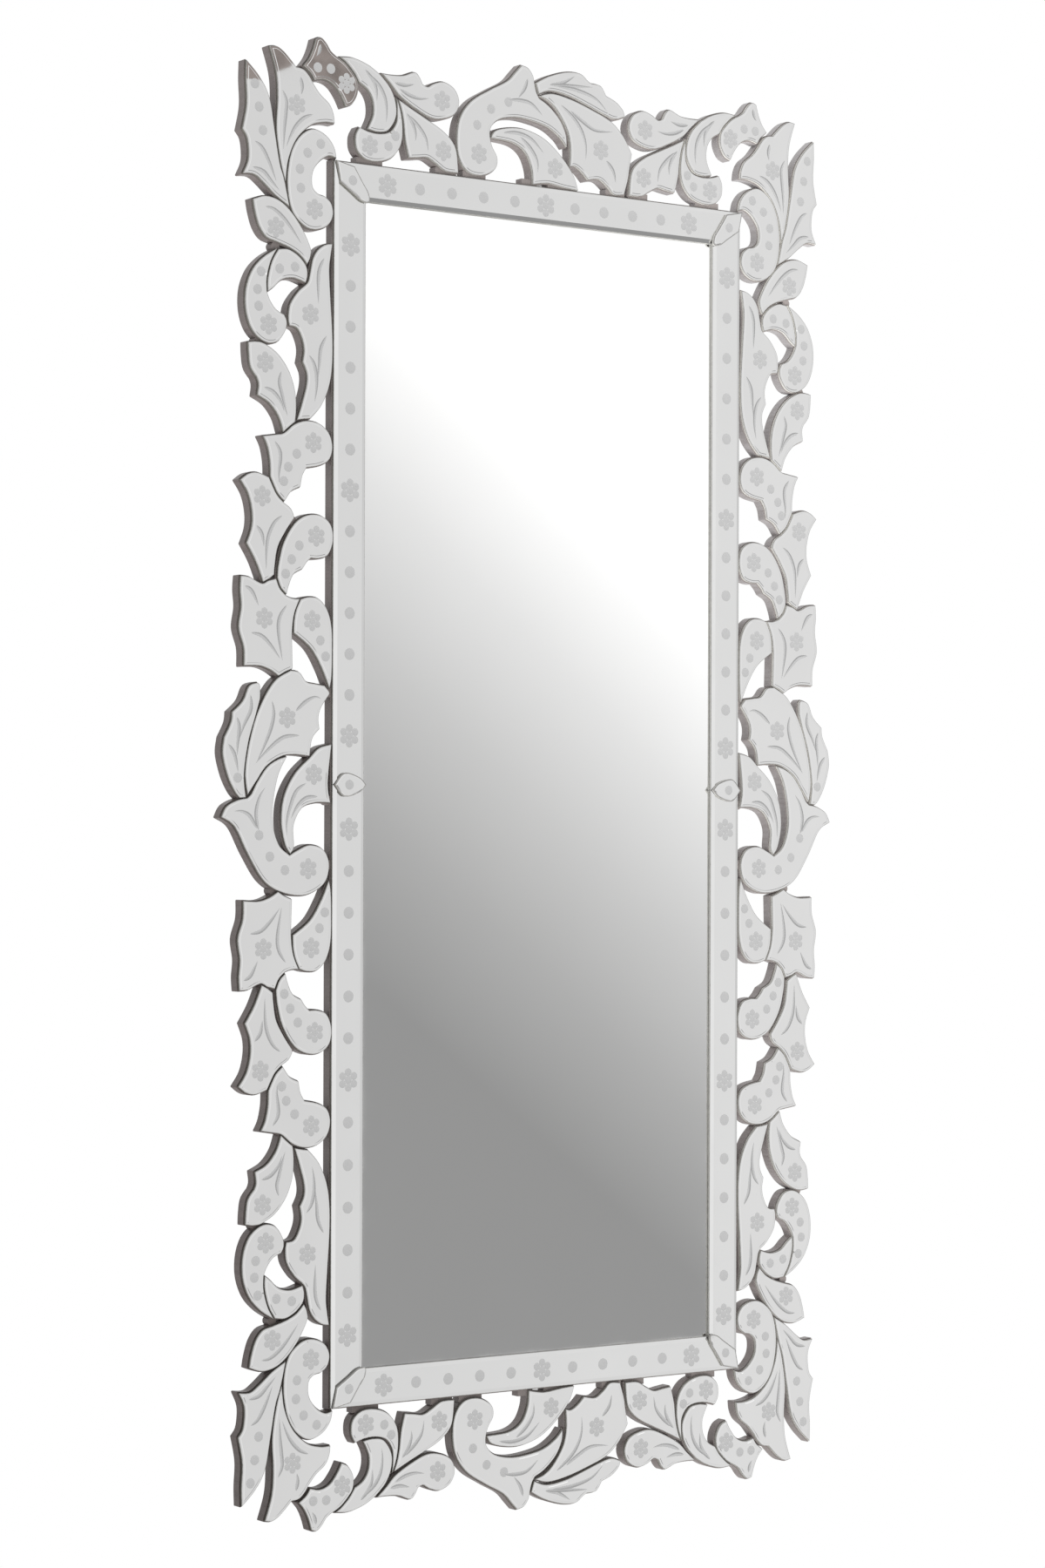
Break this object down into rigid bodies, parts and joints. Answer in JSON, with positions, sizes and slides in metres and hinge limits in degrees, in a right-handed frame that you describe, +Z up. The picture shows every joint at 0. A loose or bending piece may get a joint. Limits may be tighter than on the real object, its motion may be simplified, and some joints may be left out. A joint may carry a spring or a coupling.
{
  "type": "wall mirror",
  "caption": "Tall wall mirror with a bevelled border of flower-ground mirror strips and an openwork frame of leaf-shaped mirror glass on a dark board; it hangs flat on a wall.",
  "frame": {"origin": "middle of the board's flat back face, on the wall", "axes": "+X to the right as one faces the mirror, +Y into the wall, +Z up; the reflecting side faces -Y"},
  "size_m": [0.8736, 0.021, 1.6824],
  "materials": {
    "dark_board": "dark brown painted fibreboard, matt",
    "mirror_glass": "silvered clear glass, polished, with ground dots and flowers on the border strips",
    "leaf_glass": "silvered clear glass with polished bevels and ground flowers, dots and veins"
  },
  "bodies": {
    "root": {"backing_board": "dark_board", "mirror_plate": "mirror_glass", "border_strip_top": "mirror_glass", "border_strip_bottom": "mirror_glass", "side_strip_top_left": "mirror_glass", "side_strip_top_right": "mirror_glass", "side_strip_bottom_left": "mirror_glass", "side_strip_bottom_right": "mirror_glass", "corner_clip_top_left": "mirror_glass", "corner_clip_top_right": "mirror_glass", "corner_clip_bottom_left": "mirror_glass", "corner_clip_bottom_right": "mirror_glass", "side_clip_left": "mirror_glass", "side_clip_right": "mirror_glass", "corner_plumes_top_left": "leaf_glass", "corner_plumes_top_right": "leaf_glass", "corner_plumes_bottom_left": "leaf_glass", "corner_plumes_bottom_right": "leaf_glass", "hook_and_crest_leaf_top_left": "leaf_glass", "hook_and_crest_leaf_top_right": "leaf_glass", "hook_and_crest_leaf_bottom_left": "leaf_glass", "hook_and_crest_leaf_bottom_right": "leaf_glass", "scroll_top_left": "leaf_glass", "scroll_top_right": "leaf_glass", "scroll_bottom_left": "leaf_glass", "scroll_bottom_right": "leaf_glass", "flower_leaves_top_left": "leaf_glass", "flower_leaves_top_right": "leaf_glass", "flower_leaves_bottom_left": "leaf_glass", "flower_leaves_bottom_right": "leaf_glass", "curl_and_side_leaf_top_left": "leaf_glass", "curl_and_side_leaf_top_right": "leaf_glass", "curl_and_side_leaf_bottom_left": "leaf_glass", "curl_and_side_leaf_bottom_right": "leaf_glass", "crescents_top_left": "leaf_glass", "crescents_top_right": "leaf_glass", "crescents_bottom_left": "leaf_glass", "crescents_bottom_right": "leaf_glass", "long_leaf_top_left": "leaf_glass", "long_leaf_top_right": "leaf_glass", "long_leaf_bottom_left": "leaf_glass", "long_leaf_bottom_right": "leaf_glass", "notched_leaf_and_spray_top_left": "leaf_glass", "notched_leaf_and_spray_top_right": "leaf_glass", "notched_leaf_and_spray_bottom_left": "leaf_glass", "notched_leaf_and_spray_bottom_right": "leaf_glass", "forked_leaf_and_spur_top_left": "leaf_glass", "forked_leaf_and_spur_top_right": "leaf_glass", "forked_leaf_and_spur_bottom_left": "leaf_glass", "forked_leaf_and_spur_bottom_right": "leaf_glass", "square_leaf_and_drop_top_left": "leaf_glass", "square_leaf_and_drop_top_right": "leaf_glass", "square_leaf_and_drop_bottom_left": "leaf_glass", "square_leaf_and_drop_bottom_right": "leaf_glass", "side_ornament_left": "leaf_glass", "side_ornament_right": "leaf_glass", "end_ornament_top": "leaf_glass", "end_ornament_bottom": "leaf_glass"}
  },
  "joints": []
}
